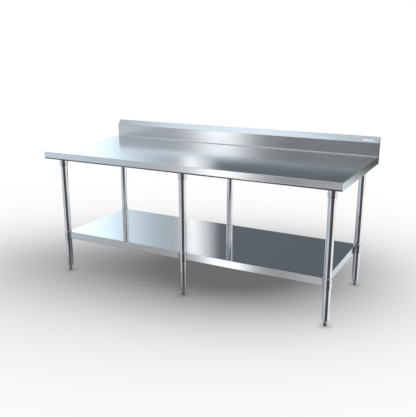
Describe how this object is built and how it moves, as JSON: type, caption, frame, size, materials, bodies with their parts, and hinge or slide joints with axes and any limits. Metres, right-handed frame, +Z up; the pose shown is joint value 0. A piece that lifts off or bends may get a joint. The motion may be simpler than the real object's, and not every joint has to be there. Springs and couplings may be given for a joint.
{
  "type": "stainless work table",
  "caption": "Long folded-sheet work table with a rolled front edge and sloped rear splash, on round tube legs with bullet feet and a height-adjustable undershelf.",
  "frame": {"origin": "on the floor, under the centre of the table's box", "axes": "+X to the right along the table's length, +Y towards the wall and the splash, +Z up"},
  "size_m": [2.1336, 0.9144, 1.0454],
  "materials": {
    "worktop_stainless": "satin brushed along the length",
    "shelf_stainless": "satin brushed along the length",
    "leg_tube": "bright polished tube",
    "collar_stainless": "fine satin, turned",
    "channel_steel": "mill finish sheet",
    "fastener_steel": "machined",
    "threaded_steel": "rolled thread",
    "foot_stainless": "turned, satin",
    "blank_plate": "plain printed foil with no lettering"
  },
  "bodies": {
    "table": {"worktop": "worktop_stainless", "splash_end_cap_left": "worktop_stainless", "splash_end_cap_right": "worktop_stainless", "data_plate": "blank_plate", "cross_channel_left": "channel_steel", "cross_channel_middle": "channel_steel", "cross_channel_right": "channel_steel", "long_channel_left": "channel_steel", "long_channel_right": "channel_steel", "channel_studs": "fastener_steel", "channel_nuts": "fastener_steel", "socket_set_screws": "fastener_steel", "leg_socket_front_left": "collar_stainless", "leg_front_left": "leg_tube", "foot_insert_front_left": "foot_stainless", "leg_socket_front_middle": "collar_stainless", "leg_front_middle": "leg_tube", "foot_insert_front_middle": "foot_stainless", "leg_socket_front_right": "collar_stainless", "leg_front_right": "leg_tube", "foot_insert_front_right": "foot_stainless", "leg_socket_rear_left": "collar_stainless", "leg_rear_left": "leg_tube", "foot_insert_rear_left": "foot_stainless", "leg_socket_rear_middle": "collar_stainless", "leg_rear_middle": "leg_tube", "foot_insert_rear_middle": "foot_stainless", "leg_socket_rear_right": "collar_stainless", "leg_rear_right": "leg_tube", "foot_insert_rear_right": "foot_stainless"},
    "shelf": {"undershelf": "shelf_stainless", "shelf_channel": "channel_steel", "collar_set_screws": "fastener_steel", "shelf_collar_front_left": "collar_stainless", "shelf_collar_front_middle": "collar_stainless", "shelf_collar_front_right": "collar_stainless", "shelf_collar_rear_left": "collar_stainless", "shelf_collar_rear_middle": "collar_stainless", "shelf_collar_rear_right": "collar_stainless"},
    "foot_front_left": {"foot_stem_front_left": "threaded_steel", "foot_bullet_front_left": "foot_stainless"},
    "foot_front_middle": {"foot_stem_front_middle": "threaded_steel", "foot_bullet_front_middle": "foot_stainless"},
    "foot_front_right": {"foot_stem_front_right": "threaded_steel", "foot_bullet_front_right": "foot_stainless"},
    "foot_rear_left": {"foot_stem_rear_left": "threaded_steel", "foot_bullet_rear_left": "foot_stainless"},
    "foot_rear_middle": {"foot_stem_rear_middle": "threaded_steel", "foot_bullet_rear_middle": "foot_stainless"},
    "foot_rear_right": {"foot_stem_rear_right": "threaded_steel", "foot_bullet_rear_right": "foot_stainless"}
  },
  "joints": [
    {"name": "shelf_height", "type": "slide", "parent": "table", "child": "shelf", "axis": [0, 0, 1], "range_m": [-0.18, 0.42]},
    {"name": "foot_screw_front_left", "type": "slide", "parent": "table", "child": "foot_front_left", "axis": [0, 0, -1], "range_m": [0, 0.025]},
    {"name": "foot_screw_front_middle", "type": "slide", "parent": "table", "child": "foot_front_middle", "axis": [0, 0, -1], "range_m": [0, 0.025]},
    {"name": "foot_screw_front_right", "type": "slide", "parent": "table", "child": "foot_front_right", "axis": [0, 0, -1], "range_m": [0, 0.025]},
    {"name": "foot_screw_rear_left", "type": "slide", "parent": "table", "child": "foot_rear_left", "axis": [0, 0, -1], "range_m": [0, 0.025]},
    {"name": "foot_screw_rear_middle", "type": "slide", "parent": "table", "child": "foot_rear_middle", "axis": [0, 0, -1], "range_m": [0, 0.025]},
    {"name": "foot_screw_rear_right", "type": "slide", "parent": "table", "child": "foot_rear_right", "axis": [0, 0, -1], "range_m": [0, 0.025]}
  ]
}
